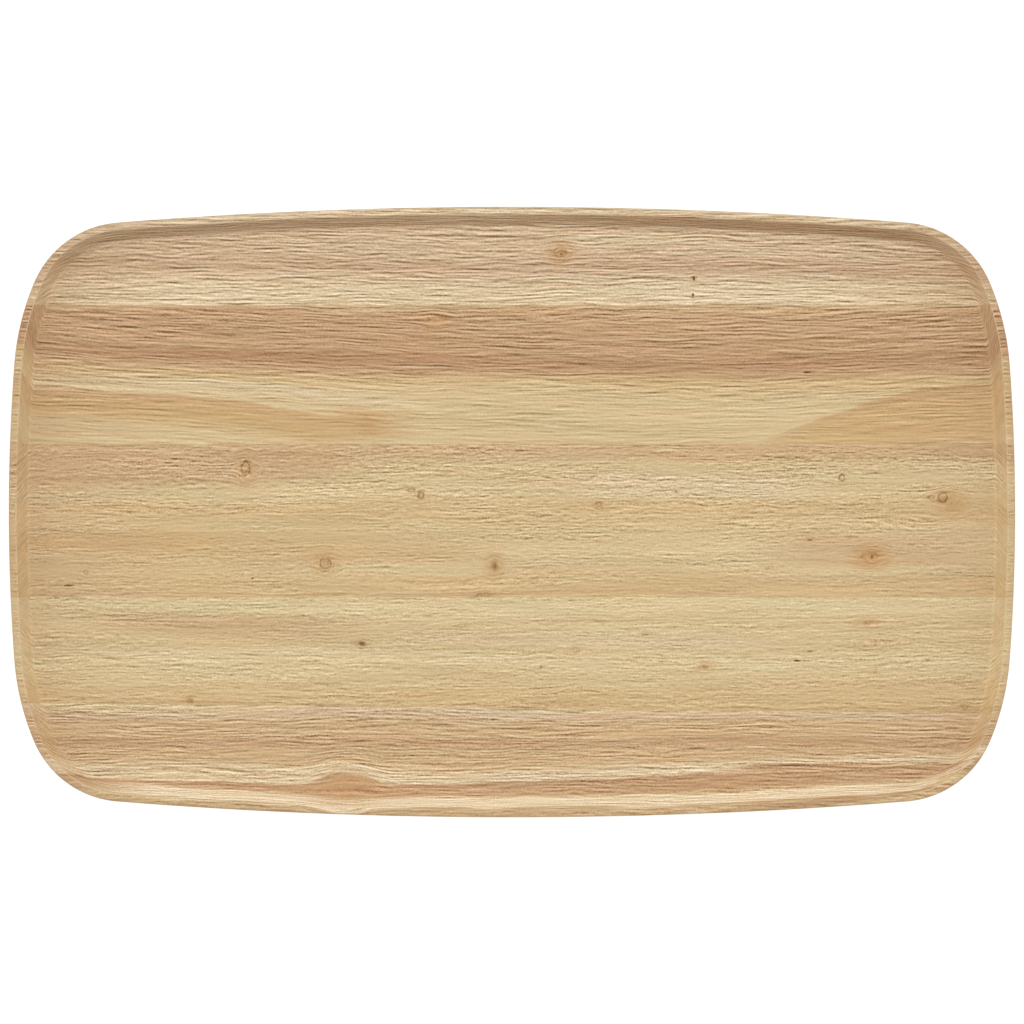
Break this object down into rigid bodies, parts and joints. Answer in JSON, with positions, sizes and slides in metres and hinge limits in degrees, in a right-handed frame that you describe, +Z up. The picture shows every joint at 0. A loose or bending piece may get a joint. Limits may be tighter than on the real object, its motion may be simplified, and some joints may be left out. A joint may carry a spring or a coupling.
{
  "type": "serving tray",
  "caption": "Low oblong serving tray in solid light hardwood, with a bulging soft-cornered outline, a narrow raised rim and a shallow pocket with a sloping wall.",
  "frame": {"origin": "centre of the underside, on the plane that the tray stands on", "axes": "+X along the long side and the grain, +Y across the tray towards the back edge, +Z up out of the pocket"},
  "size_m": [0.4572, 0.2774, 0.018],
  "materials": {
    "back_edge_wood": "satin oiled hardwood, grain along X",
    "back_inner_wood": "satin oiled hardwood, grain along X",
    "centre_wood": "satin oiled hardwood, grain along X",
    "front_inner_wood": "satin oiled hardwood, grain along X",
    "front_edge_wood": "satin oiled hardwood, grain along X",
    "glue": "cured wood glue film"
  },
  "bodies": {
    "root": {"back_edge_stave": "back_edge_wood", "back_inner_stave": "back_inner_wood", "centre_stave": "centre_wood", "front_inner_stave": "front_inner_wood", "front_edge_stave": "front_edge_wood", "back_edge_glue_line": "glue", "back_inner_glue_line": "glue", "front_inner_glue_line": "glue", "front_edge_glue_line": "glue"}
  },
  "joints": []
}
